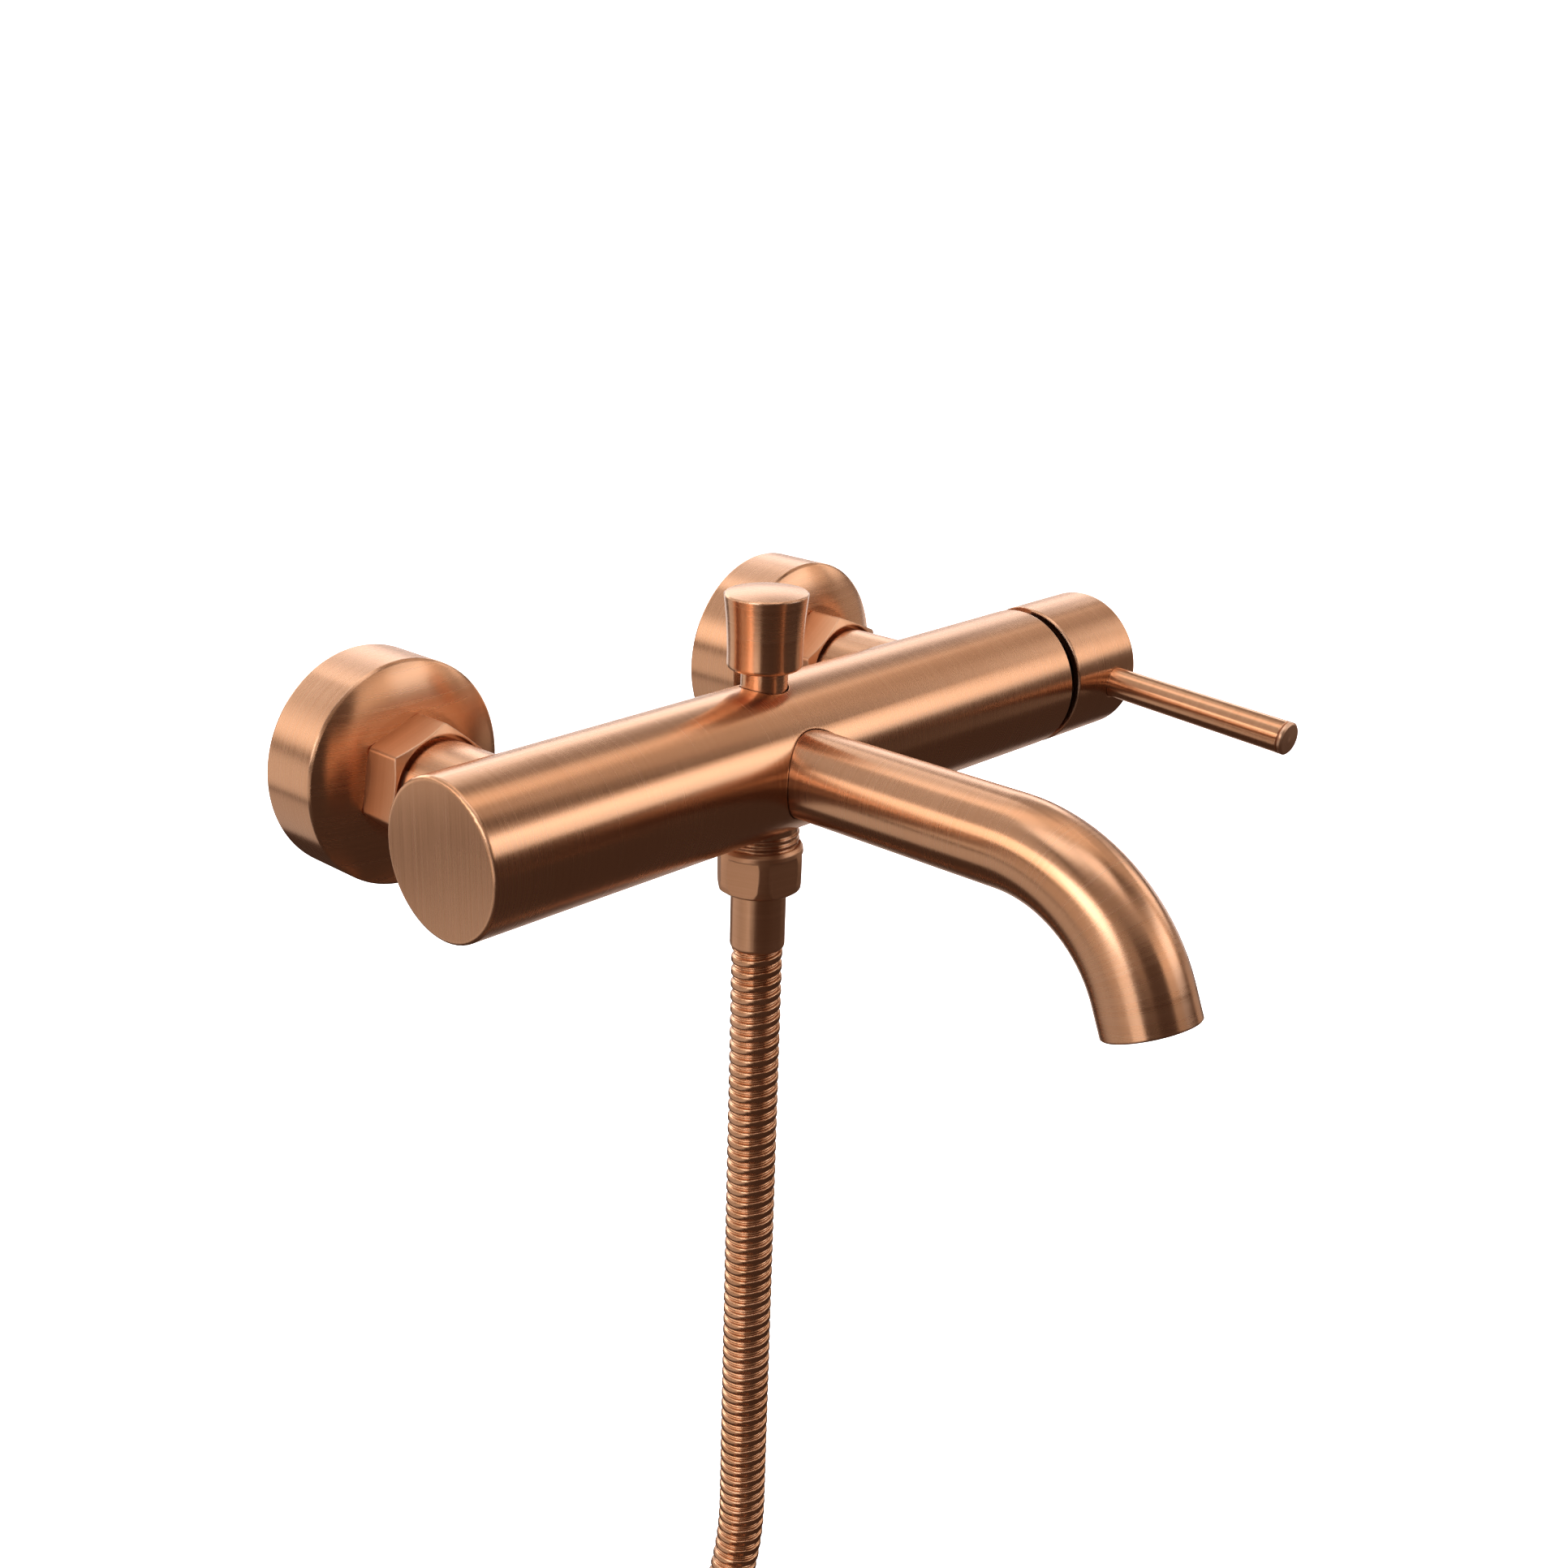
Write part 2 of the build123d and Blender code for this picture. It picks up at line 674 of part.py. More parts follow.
def aerator_housing():
    """Threaded ring that holds the flow straightener in the mouth."""
    length = aerator_length
    top = beyond_bend(spout_end_length - aerator_recess - length)
    outer = spout_radius - spout_wall
    points = [
        (outer - 1.6, 0),
        (outer, 0),
        (outer, length),
        (outer - 0.9, length),
        (outer - 0.9, length - 1.0),
        (outer - 1.6, length - 1.0),
    ]
    return turned(points, top, spout_down)


def aerator_insert():
    """Plastic grid that mixes air into the stream."""
    thickness = 2.0
    top = beyond_bend(spout_end_length - aerator_recess - 1.0 - thickness)
    radius = spout_radius - spout_wall - 1.6
    plane = Plane(origin=top, x_dir=(1, 0, 0), z_dir=spout_down)
    disc = extrude(Circle(radius) - grid_holes(radius), amount=thickness)
    return plane.location * disc


def grid_holes(radius):
    """Square grid of openings inside a circle."""
    step, hole = 2.3, 1.6
    count = int(radius / step)
    places = []
    for i in range(-count, count + 1):
        for j in range(-count, count + 1):
            if (i * step) ** 2 + (j * step) ** 2 < (radius - 1.4) ** 2:
                places.append((i * step, j * step))
    return Sketch() + [Pos(x, y) * Rectangle(hole, hole) for x, y in places]


def aerator_washer():
    """Flat rubber washer behind the aerator."""
    thickness = 1.5
    top = beyond_bend(spout_end_length - aerator_recess - aerator_length - thickness)
    outer = spout_radius - spout_wall
    return bar(top, spout_down, thickness, outer, outer - 2.4)


# ---------------------------------------------------------------- diverter
retainer_top = washer_top + retainer_height


def diverter_knob():
    """Pull knob with a flared side, a slightly domed top and a round neck."""
    dome_edge = knob_top_radius - 0.35
    dome_radius = (dome_edge**2 + knob_dome**2) / (2 * knob_dome)
    half_turn = 0.5 * asin(dome_edge / dome_radius)
    dome_mid = (dome_radius * sin(half_turn), 0, knob_top - dome_radius * (1 - cos(half_turn)))
    low = (knob_low_radius, 0, knob_bottom + 1.2)
    mid = (knob_low_radius + 0.12, 0, knob_bottom + 0.45 * (knob_rim - knob_bottom))
    rim = (knob_top_radius, 0, knob_rim - 0.35)
    edges = [
        Line((0, 0, knob_neck_bottom), (knob_neck_radius, 0, knob_neck_bottom)),
        Line((knob_neck_radius, 0, knob_neck_bottom), (knob_neck_radius, 0, knob_bottom)),
        Line((knob_neck_radius, 0, knob_bottom), (knob_low_radius - 1.2, 0, knob_bottom)),
        ThreePointArc(
            (knob_low_radius - 1.2, 0, knob_bottom), (knob_low_radius - 0.35, 0, knob_bottom + 0.35), low
        ),
        ThreePointArc(low, mid, rim),
        Line(rim, (dome_edge, 0, knob_rim)),
        ThreePointArc((dome_edge, 0, knob_rim), dome_mid, (0, 0, knob_top)),
        Line((0, 0, knob_top), (0, 0, knob_neck_bottom)),
    ]
    knob = revolve(make_face(Curve() + edges), axis=Axis.Z)
    return Pos(0, axis_y, 0) * knob - upright(knob_neck_bottom, knob_bottom - 4, stem_radius)


def diverter_stem():
    """Steel stem from the knob through the bonnet to the valve."""
    return upright(washer_base, knob_bottom - 4, stem_radius)


def diverter_bonnet():
    """Brass guide screwed in below the knob's neck."""
    return upright(bonnet_bottom, bonnet_top, bonnet_radius, stem_radius + running_gap)


def stem_seal():
    """O-ring seal on the bonnet round the stem."""
    return upright(bonnet_top, bonnet_top + stem_seal_height, bonnet_radius - 1.2, stem_radius + running_gap)


def diverter_washer():
    """Rubber valve washer that shuts either the shower seat or the spout seat."""
    return upright(washer_base, washer_top, valve_radius, stem_radius)


def diverter_retainer():
    """Brass collar that holds the washer on the stem and carries the spring."""
    return upright(washer_top, retainer_top, spring_coil_radius + spring_wire + 0.3, stem_radius)


def coil_spring(low, high, coil, wire, coils):
    """Compression spring that stands on the diverter's axis between two heights."""
    rise = high - low - wire
    helix = Helix(pitch=rise / coils, height=rise, radius=coil, center=(0, 0, low + wire / 2))
    section = Plane(origin=helix @ 0, z_dir=helix % 0) * Circle(wire / 2)
    return Pos(0, axis_y, 0) * sweep(section, path=helix, is_frenet=True)


def diverter_spring():
    return coil_spring(retainer_top, bonnet_bottom, spring_coil_radius, spring_wire, spring_coils)


# ---------------------------------------------------------------- shower outlet
check_top = nipple_bottom + check_valve_length
check_bottom = nipple_bottom
check_seat = 1.6
poppet_top = check_top - check_seat - poppet_gap
poppet_base = poppet_top - 1.2


def shower_nipple():
    """Threaded outlet screwed up into the body; its top rim is the shower seat."""
    shoulder = upright(nipple_shoulder, lower_seat, nipple_top_thread, nipple_seat_radius)
    length = nipple_shoulder - nipple_bottom
    top = (0, axis_y, nipple_shoulder)
    thread = threaded(top, (0, 0, -1), length, nipple_radius, nipple_seat_radius, thread_pitch)
    return shoulder + thread - upright(nipple_bottom, check_top, nipple_bore_radius)


def check_valve_housing():
    """Plastic cage of the non-return valve, pressed into the outlet."""
    cage = upright(check_bottom, check_top, nipple_bore_radius, nipple_bore_radius - 1.2)
    seat = upright(check_top - check_seat, check_top, nipple_bore_radius - 1.2, 3.6)
    guide = upright(check_bottom, check_bottom + 2.0, 2.6, 1.3)
    for step in range(3):
        arm = block(2.2, nipple_bore_radius - 1.0, -0.6, 0.6, check_bottom, check_bottom + 2.0)
        guide += Pos(0, axis_y, 0) * (Rot(0, 0, 120 * step) * arm)
    return cage + seat + guide


def check_valve_poppet():
    """Plunger that opens downwards under water pressure."""
    head = upright(poppet_base, poppet_top, 4.9)
    return head + upright(check_bottom + 0.4, poppet_base, 1.3 - running_gap)


def check_valve_spring():
    return coil_spring(check_bottom + 2.0, poppet_base, 2.2, 0.5, 4)


def hose_washer():
    """Rubber washer between the outlet and the hose's connector."""
    return upright(hose_flange_top, nipple_bottom, hose_flange_radius, hose_bore_radius)


def hose_nut():
    """Round union nut with milled wrench flats that look oval on its rounded sides."""
    height = hose_nut_top - hose_nut_bottom
    profile = [
        (0, 0),
        (hose_nut_radius - 1.5, 0),
        (hose_nut_radius - 0.5, 0.7),
        (hose_nut_radius - 0.15, 2.4),
        (hose_nut_radius, height * 0.45),
        (hose_nut_radius, height * 0.7),
        (hose_nut_radius - 0.25, height - 1.0),
        (hose_nut_radius - 0.9, height),
        (0, height),
    ]
    nut = turned(profile, (0, axis_y, hose_nut_bottom), (0, 0, 1))
    grip = hexagon(hose_nut_flats, height - 2.4, (0, axis_y, hose_nut_bottom), (0, 0, 1), hose_nut_turn)
    upper = upright(hose_nut_bottom + height - 2.4, hose_nut_top, hose_nut_radius + 1)
    nut &= grip + upper
    nut -= upright(hose_flange_bottom, hose_nut_top, nipple_radius)
    return nut - upright(hose_nut_bottom, hose_flange_bottom, ferrule_radius - 1.0)


def hose_ferrule():
    """Crimped sleeve on the hose with a rounded lower edge and a flange in the nut."""
    sleeve = upright(ferrule_bottom, hose_nut_bottom, ferrule_radius)
    sleeve = fillet(sleeve.edges().filter_by(GeomType.CIRCLE).sort_by(Axis.Z)[:1], 1.4)
    sleeve += upright(hose_nut_bottom, hose_flange_bottom, ferrule_radius - 1.0)
    sleeve += upright(hose_flange_bottom, hose_flange_top, hose_flange_radius)
    return sleeve - upright(ferrule_bottom, hose_flange_top, hose_bore_radius)


# ---------------------------------------------------------------- shower hose
# The route hangs straight down from the sleeve, bends to the left and lies down in a coil.
slant = bend_run * sin(radians(45))
hose_route = [
    (0, axis_y, ferrule_bottom),
    (0, axis_y, hose_straight_end),
    (-slant, axis_y, hose_straight_end - slant),
    (-slant - bend_run, axis_y, hose_straight_end - slant),
]
coil_entry = hose_route[-1]
coil_centre = (coil_entry[0], coil_entry[1] - coil_radius)
coil_top = coil_entry[2] + hose_radius
coil_base = coil_entry[2] - coil_turns * coil_pitch - hose_radius
tail_start = (coil_centre[0] - coil_radius, coil_centre[1], coil_base + hose_radius)
tail_direction = (0, -cos(radians(tail_slope)), sin(radians(tail_slope)))


def bend_radii(route):
    """Arc radius at each corner: 0.45 of the shorter run over the tangent of half the turn."""
    radii = []
    for before, here, after in zip(route, route[1:], route[2:]):
        first = Vector(*here) - Vector(*before)
        second = Vector(*after) - Vector(*here)
        shorter = min(first.length, second.length)
        radii.append(0.45 * shorter / tan(radians(first.get_angle(second) / 2)))
    return radii


def shower_hose():
    """The hanging length of the hose and its bend into the coil."""
    radii = bend_radii(hose_route)
    print("hose bend radii, mm:", [round(r, 1) for r in radii])
    path = FilletPolyline(*hose_route, radius=radii)
    start = Plane(origin=hose_route[0], z_dir=(0, 0, -1))
    hose = sweep(start * Circle(hose_radius), path=path)
    section = 3.14159265 * hose_radius**2
    print("hose volume and section times length, mm3:", round(hose.volume), round(section * path.length))
    return hose


def hose_coil():
    """Outer shape of the coiled length."""
    height = coil_top - coil_base
    base = (coil_centre[0], coil_centre[1], coil_base)
    return bar(base, (0, 0, 1), height, coil_radius + hose_radius, coil_radius - hose_radius)


def along_tail(distance):
    return tuple(s + distance * d for s, d in zip(tail_start, tail_direction))


def hose_tail():
    """Short straight length that leaves the coil."""
    return bar(tail_start, tail_direction, tail_length, hose_radius)


def far_ferrule():
    base = along_tail(tail_length)
    sleeve = bar(base, tail_direction, far_ferrule_length, ferrule_radius)
    sleeve += bar(along_tail(tail_length + far_ferrule_length), tail_direction, 6.0, ferrule_radius - 1.0)
    return sleeve - bar(base, tail_direction, far_ferrule_length + 6.0, hose_bore_radius)


def far_nut():
    """Conical nut for the hand shower, with its thread at the open end."""
    base = along_tail(tail_length + far_ferrule_length)
    points = [
        (ferrule_radius - 1.0, 0),
        (far_nut_small_radius - 0.6, 0),
        (far_nut_small_radius, 0.8),
        (far_nut_radius, far_nut_length - 4.0),
        (far_nut_radius, far_nut_length - 0.6),
        (far_nut_radius - 0.4, far_nut_length),
        (far_thread_radius, far_nut_length),
        (far_thread_radius, 6.0 + hose_washer_thickness),
        (far_thread_radius - 1.2, 6.0 + hose_washer_thickness),
        (far_thread_radius - 1.2, 6.0),
        (ferrule_radius - 1.0, 6.0),
    ]
    return turned(points, base, tail_direction)


def far_washer():
    base = along_tail(tail_length + far_ferrule_length + 6.0)
    return bar(base, tail_direction, hose_washer_thickness, far_thread_radius - 1.2, hose_bore_radius)


# ---------------------------------------------------------------- write every node
nodes = {
    "mixer_body": mixer_body(),
    "cartridge_base": cartridge_base(),
    "cartridge_seals": cartridge_seals(),
    "fixed_ceramic_disc": fixed_ceramic_disc(),
    "moving_ceramic_disc": in_handle_frame(moving_ceramic_disc()),
    "disc_carrier": in_handle_frame(disc_carrier()),
    "cartridge_housing": cartridge_housing(),
    "stem_guide": in_handle_frame(stem_guide()),
    "spindle_pin": in_handle_frame(spindle_pin()),
    "control_spindle": in_handle_frame(control_spindle()),
    "cartridge_nut": cartridge_nut(),
    "gap_ring": gap_ring(),
    "handle_cap": handle_cap(),
    "handle_set_screw": handle_set_screw(),
    "handle_plug": handle_plug(),
    "lever_rod": lever_rod(),
    "lever_tip": lever_tip(),
    "spout_tube": spout_tube(),
    "spout_seal": spout_seal(),
    "aerator_housing": aerator_housing(),
    "aerator_insert": aerator_insert(),
    "aerator_washer": aerator_washer(),
    "diverter_knob": diverter_knob(),
    "diverter_stem": diverter_stem(),
    "diverter_bonnet": diverter_bonnet(),
    "stem_seal": stem_seal(),
    "diverter_washer": diverter_washer(),
    "diverter_retainer": diverter_retainer(),
    "diverter_spring": diverter_spring(),
    "shower_nipple": shower_nipple(),
    "check_valve_housing": check_valve_housing(),
    "check_valve_poppet": check_valve_poppet(),
    "check_valve_spring": check_valve_spring(),
    "hose_washer": hose_washer(),
    "hose_nut": hose_nut(),
    "hose_ferrule": hose_ferrule(),
    "shower_hose": shower_hose(),
    "hose_coil": hose_coil(),
    "hose_tail": hose_tail(),
    "far_ferrule": far_ferrule(),
    "far_nut": far_nut(),
    "far_washer": far_washer(),
}
for side in wall_side:
    nodes[f"s_union_{side}"] = s_union(side)
    nodes[f"cover_plate_{side}"] = cover_plate(side)
    nodes[f"union_nut_{side}"] = union_nut(side)
    nodes[f"filter_washer_{side}"] = filter_washer(side)
    nodes[f"inlet_seat_{side}"] = inlet_seat(side)

for name, shape in nodes.items():
    export_step(shape, f"parts/{name}.step")
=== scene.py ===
import json
import math

import bmesh
import bpy
import numpy as np
from mathutils import Matrix, Vector


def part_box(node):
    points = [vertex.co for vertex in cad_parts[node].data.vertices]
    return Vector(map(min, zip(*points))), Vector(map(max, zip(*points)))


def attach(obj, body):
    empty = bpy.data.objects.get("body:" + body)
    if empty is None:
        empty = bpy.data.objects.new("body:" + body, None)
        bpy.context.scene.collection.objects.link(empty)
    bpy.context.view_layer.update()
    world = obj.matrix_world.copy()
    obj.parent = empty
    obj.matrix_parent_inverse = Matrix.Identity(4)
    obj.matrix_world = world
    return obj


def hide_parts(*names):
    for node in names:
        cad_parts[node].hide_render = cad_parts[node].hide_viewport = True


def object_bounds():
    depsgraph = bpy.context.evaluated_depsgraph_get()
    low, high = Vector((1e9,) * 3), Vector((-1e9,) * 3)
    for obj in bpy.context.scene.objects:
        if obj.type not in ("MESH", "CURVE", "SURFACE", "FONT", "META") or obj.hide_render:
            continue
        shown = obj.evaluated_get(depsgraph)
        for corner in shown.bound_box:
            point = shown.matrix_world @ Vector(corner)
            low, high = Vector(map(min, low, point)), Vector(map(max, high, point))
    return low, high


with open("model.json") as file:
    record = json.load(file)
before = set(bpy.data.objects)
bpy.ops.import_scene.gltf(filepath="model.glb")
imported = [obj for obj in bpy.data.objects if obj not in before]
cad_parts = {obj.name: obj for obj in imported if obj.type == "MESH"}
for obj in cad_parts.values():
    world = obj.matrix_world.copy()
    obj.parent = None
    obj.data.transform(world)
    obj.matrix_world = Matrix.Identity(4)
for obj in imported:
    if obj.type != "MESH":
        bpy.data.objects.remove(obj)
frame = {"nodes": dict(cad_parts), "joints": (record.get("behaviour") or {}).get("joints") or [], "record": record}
cad_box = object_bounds()

X_AXIS, Y_AXIS, Z_AXIS = Vector((1, 0, 0)), Vector((0, 1, 0)), Vector((0, 0, 1))
MM = 0.001

# ---------------------------------------------------------------- places taken from the frame
FLOOR_GAP = 0.5 * MM
ferrule_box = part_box("hose_ferrule")
body_axis_y = 0.5 * (ferrule_box[0].y + ferrule_box[1].y)
floor_z = cad_box[0].z - FLOOR_GAP
joints = {joint["name"]: joint for joint in frame["joints"]}
droop = math.atan2(-joints["flow"]["axis"][1], joints["flow"]["axis"][2])
lever_direction = Vector((0, -math.cos(droop), -math.sin(droop)))

# ---------------------------------------------------------------- camera, lights and stage
# The camera's place, angles, lens and shift come from a solve over the mixer's outlines. Angles in degrees.
CAMERA_PLACE = (-0.3576, -0.4086, 0.1679)
CAMERA_AZIMUTH, CAMERA_ELEVATION, CAMERA_ROLL = 42.36, 23.11, -0.18
CAMERA_LENS, SENSOR_WIDTH = 45.346, 36.0
CAMERA_SHIFT = (0.1061, 0.0760)
NEAREST_SEEN = 0.01


def make_camera():
    """Camera that looks down at the mixer from its left front."""
    azimuth, elevation = math.radians(CAMERA_AZIMUTH), math.radians(CAMERA_ELEVATION)
    data = bpy.data.cameras.new("camera")
    data.sensor_width = SENSOR_WIDTH
    data.lens = CAMERA_LENS
    data.shift_x, data.shift_y = CAMERA_SHIFT
    data.clip_start = NEAREST_SEEN
    camera = bpy.data.objects.new("camera", data)
    turn = Matrix.Rotation(-azimuth, 4, "Z") @ Matrix.Rotation(math.pi / 2 - elevation, 4, "X")
    roll = Matrix.Rotation(math.radians(CAMERA_ROLL), 4, "Z")
    camera.matrix_world = Matrix.Translation(CAMERA_PLACE) @ turn @ roll
    bpy.context.scene.collection.objects.link(camera)
    bpy.context.scene.camera = camera


# The directions, brightnesses and tints are rounded and merged from a least-squares fit of single lights, and
# the room's colour comes from the same fit.
LIGHT_DISTANCE = 1.6
WARM, NEUTRAL, COOL = (1.1, 1.0, 0.9), (1.0, 1.0, 1.0), (0.94, 1.0, 1.08)
LIGHT_RINGS = {
    # ring: elevation and height in degrees, then its boxes: azimuth, width, brightness, tint
    "low": (
        -34,
        24,
        [
            (-130, 90, 0.45, NEUTRAL),
            (126, 32, 0.5, NEUTRAL),
        ],
    ),
    "level": (
        -8,
        22,
        [
            (-150, 56, 0.65, NEUTRAL),
            (-105, 28, 0.45, WARM),
            (-75, 28, 1.0, NEUTRAL),
            (75, 28, 0.35, WARM),
            (135, 85, 0.8, COOL),
        ],
    ),
    "middle": (
        20,
        22,
        [
            (-155, 60, 1.0, NEUTRAL),
            (-110, 28, 1.25, WARM),
            (-80, 28, 2.4, COOL),
            (-50, 28, 0.3, WARM),
            (16, 22, 0.8, WARM),
            (40, 24, 1.3, COOL),
            (58, 12, 0.6, WARM),
            (76, 18, 1.2, NEUTRAL),
            (100, 24, 0.45, NEUTRAL),
            (148, 72, 1.5, COOL),
        ],
    ),
    "high": (
        47,
        26,
        [
            (-140, 75, 0.45, NEUTRAL),
            (-20, 150, 0.26, WARM),
            (80, 36, 0.45, WARM),
            (120, 36, 0.27, NEUTRAL),
            (160, 36, 0.75, COOL),
        ],
    ),
    "top": (
        76,
        22,
        [
            (-135, 56, 0.35, NEUTRAL),
            (-45, 56, 1.1, COOL),
            (45, 56, 0.2, WARM),
            (135, 56, 0.65, WARM),
        ],
    ),
}
ROOM_COLOUR = (1.00, 0.69, 0.55, 1)
ROOM_BRIGHTNESS = 0.10
WHITE = (1, 1, 1, 1)
FLOOR_GREY = (0.9, 0.9, 0.9, 1)
FLOOR_BRIGHTNESS = 1.0
FLOOR_HALF_WIDTH = 40.0


def softbox(name, azimuth, elevation, width, height, brightness, tint):
    """Area light round the mixer. Azimuth 0 is in front of it and 90 at its right; sizes are in degrees."""
    a, e = math.radians(azimuth), math.radians(elevation)
    direction = Vector((math.sin(a) * math.cos(e), -math.cos(a) * math.cos(e), math.sin(e)))
    data = bpy.data.lights.new(name, "AREA")
    data.shape = "RECTANGLE"
    data.size = 2 * LIGHT_DISTANCE * math.tan(math.radians(width / 2))
    data.size_y = 2 * LIGHT_DISTANCE * math.tan(math.radians(height / 2))
    data.energy = brightness * math.pi * data.size * data.size_y
    data.color = tint
    light = bpy.data.objects.new(name, data)
    light.location = Vector((0, body_axis_y, 0)) + LIGHT_DISTANCE * direction
    light.rotation_euler = direction.to_track_quat("Z", "Y").to_euler()
    light.visible_camera = False
    bpy.context.scene.collection.objects.link(light)


def make_lights():
    """Soft studio boxes in rings round the mixer."""
    for ring, (elevation, height, boxes) in LIGHT_RINGS.items():
        for azimuth, width, brightness, tint in boxes:
            softbox(f"{ring}_{azimuth}", azimuth, elevation, width, height, brightness, tint)


def make_world():
    """A dim warm room for everything but the camera, which sees the same white as the floor."""
    world = bpy.data.worlds.new("studio")
    world.use_nodes = True
    nodes, links = world.node_tree.nodes, world.node_tree.links
    nodes.clear()
    output = nodes.new("ShaderNodeOutputWorld")
    mix = nodes.new("ShaderNodeMixShader")
    room = nodes.new("ShaderNodeBackground")
    room.inputs["Color"].default_value = ROOM_COLOUR
    room.inputs["Strength"].default_value = ROOM_BRIGHTNESS
    white = nodes.new("ShaderNodeBackground")
    white.inputs["Color"].default_value = WHITE
    white.inputs["Strength"].default_value = FLOOR_BRIGHTNESS
    ray = nodes.new("ShaderNodeLightPath")
    links.new(ray.outputs["Is Camera Ray"], mix.inputs["Fac"])
    links.new(room.outputs["Background"], mix.inputs[1])
    links.new(white.outputs["Background"], mix.inputs[2])
    links.new(mix.outputs["Shader"], output.inputs["Surface"])
    bpy.context.scene.world = world


def make_floor():
    """A wide white floor under the coiled hose."""
    half = FLOOR_HALF_WIDTH
    mesh = bpy.data.meshes.new("floor")
    corners = [(-half, -half, floor_z), (half, -half, floor_z), (half, half, floor_z), (-half, half, floor_z)]
    mesh.from_pydata(corners, [], [(0, 1, 2, 3)])
    floor = bpy.data.objects.new("floor", mesh)
    bpy.context.scene.collection.objects.link(floor)
    material = bpy.data.materials.new("pale_floor")
    material.use_nodes = True
    shader = material.node_tree.nodes["Principled BSDF"]
    shader.inputs["Base Color"].default_value = FLOOR_GREY
    shader.inputs["Roughness"].default_value = 0.9
    shader.inputs["Specular IOR Level"].default_value = 0.0
    shader.inputs["Emission Color"].default_value = WHITE
    shader.inputs["Emission Strength"].default_value = FLOOR_BRIGHTNESS
    mesh.materials.append(material)
    floor.visible_glossy = False


# ---------------------------------------------------------------- shower hose
hose_diameter = 0.014
coil_radius, coil_turns, coil_pitch = 0.0734, 2.25, 0.0142
points_per_turn = 16
tail_length, tail_slope = 0.055, math.radians(3.2)
hang_guide_z = -0.209
bend_z = -0.275
bend_run = 0.066
slant = bend_run * math.sin(math.radians(45))
exit_point = Vector((0, body_axis_y, ferrule_box[0].z))
hose_route = [
    exit_point,
    Vector((0, body_axis_y, hang_guide_z)),
    Vector((0, body_axis_y, bend_z)),
    Vector((-slant, body_axis_y, bend_z - slant)),
    Vector((-slant - bend_run, body_axis_y, bend_z - slant)),
]
SAME_PLACE = 1e-7


def coil_points(entry):
    """Points round the coil, from where the hose comes in to where its tail leaves."""
    centre = Vector((entry.x, entry.y - coil_radius, 0))
    spread = coil_radius / math.cos(math.pi / points_per_turn) ** 0.5
    steps = round(coil_turns * points_per_turn)
    points = []
    for i in range(1, steps):
        turn = i / points_per_turn
        angle = math.pi / 2 + 2 * math.pi * turn
        place = Vector((spread * math.cos(angle), spread * math.sin(angle), entry.z - turn * coil_pitch))
        points.append(centre + place)
    points.append(Vector((centre.x - coil_radius, centre.y, entry.z - coil_turns * coil_pitch)))
    return points


def hose_points():
    """Control points of the whole hose: the hanging run, the coil, then the short tail."""
    coil = coil_points(hose_route[-1])
    heading = Vector((0, -math.cos(tail_slope), math.sin(tail_slope)))
    tail = [coil[-1] + heading * tail_length * share for share in (0.5, 1.0)]
    return hose_route + coil + tail


def nurbs_line(name, points):
    """Smooth line with the given control points, as a list of places along it."""
    data = bpy.data.curves.new(name, "CURVE")
    data.dimensions = "3D"
    data.resolution_u = 24
    spline = data.splines.new("NURBS")
    spline.points.add(len(points) - 1)
    for target, point in zip(spline.points, points):
        target.co = (*point, 1)
    spline.order_u = 3
    spline.use_endpoint_u = True
    curve = bpy.data.objects.new(name, data)
    bpy.context.scene.collection.objects.link(curve)
    bpy.context.view_layer.update()
    mesh = bpy.data.meshes.new_from_object(curve)
    line = [vertex.co.copy() for vertex in mesh.vertices]
    bpy.data.objects.remove(curve)
    bpy.data.meshes.remove(mesh)
    return line


RIB_PITCH = 3.79 * MM
RIB_SIDES = 28
GROOVE_DEPTH = 1.0 * MM
RIB_PROFILE = [
    # share of one rib, depth below the outside in mm: a broad round band, then a groove with a low bead
    (0.00, 0.62),
    (0.03, 0.26),
    (0.09, 0.09),
    (0.18, 0.02),
    (0.30, 0.00),
    (0.42, 0.02),
    (0.52, 0.09),
    (0.58, 0.26),
    (0.61, 0.62),
    (0.64, 1.00),
    (0.70, 0.96),
    (0.74, 0.68),
    (0.80, 0.58),
    (0.86, 0.68),
    (0.90, 0.96),
    (0.97, 1.00),
]


class Path:
    """Places and cross directions at any distance along a line."""

    def __init__(self, line):
        places = np.array([tuple(p) for p in line])
        steps = np.linalg.norm(np.diff(places, axis=0), axis=1)
        places = places[np.r_[True, steps > SAME_PLACE]]
        self.lengths = np.r_[0, np.cumsum(np.linalg.norm(np.diff(places, axis=0), axis=1))]
        self.length = self.lengths[-1]
        ahead = np.gradient(places, axis=0)
        ahead /= np.linalg.norm(ahead, axis=1)[:, None]
        side, sides = np.array([1.0, 0.0, 0.0]), []
        for direction in ahead:
            side = side - direction * side.dot(direction)
            side /= np.linalg.norm(side)
            sides.append(side)
        sides = np.array(sides)
        self.table = np.hstack([places, sides, np.cross(ahead, sides)])

    def at(self, distances):
        """The place at each distance, and two directions across the line there."""
        columns = [np.interp(distances, self.lengths, column) for column in self.table.T]
        values = np.stack(columns, axis=-1)
        return values[..., 0:3], values[..., 3:6], values[..., 6:9]


